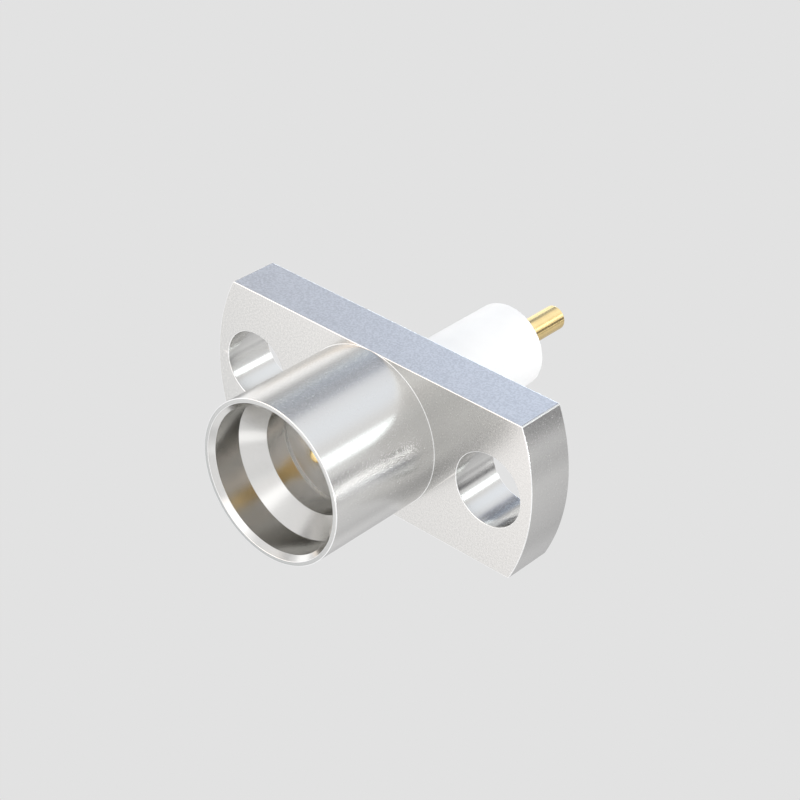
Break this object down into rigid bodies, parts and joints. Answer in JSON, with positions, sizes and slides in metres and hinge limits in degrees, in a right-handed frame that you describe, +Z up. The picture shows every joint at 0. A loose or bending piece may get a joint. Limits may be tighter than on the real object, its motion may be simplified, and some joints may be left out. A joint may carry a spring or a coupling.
{
  "type": "smp coaxial connector",
  "caption": "Male push-on coaxial receptacle with a stepped snap-in mouth, a flat-sided screw flange, an extended round insulator and a solder post behind.",
  "frame": {"origin": "on the connector's axis, in the flange's mounting face, midway between the two screw holes", "axes": "-Y out of the mating mouth, +Y along the solder post, +X along the flange through both screw holes, +Z up"},
  "size_m": [0.0106, 0.0113, 0.0044],
  "materials": {
    "stainless_steel": "passivated, satin, fine turning marks",
    "fluoropolymer": "turned, matt white",
    "gold_plating": "gold plated, smooth"
  },
  "bodies": {
    "root": {"housing": "stainless_steel", "dielectric": "fluoropolymer", "centre_contact": "gold_plating"}
  },
  "joints": []
}
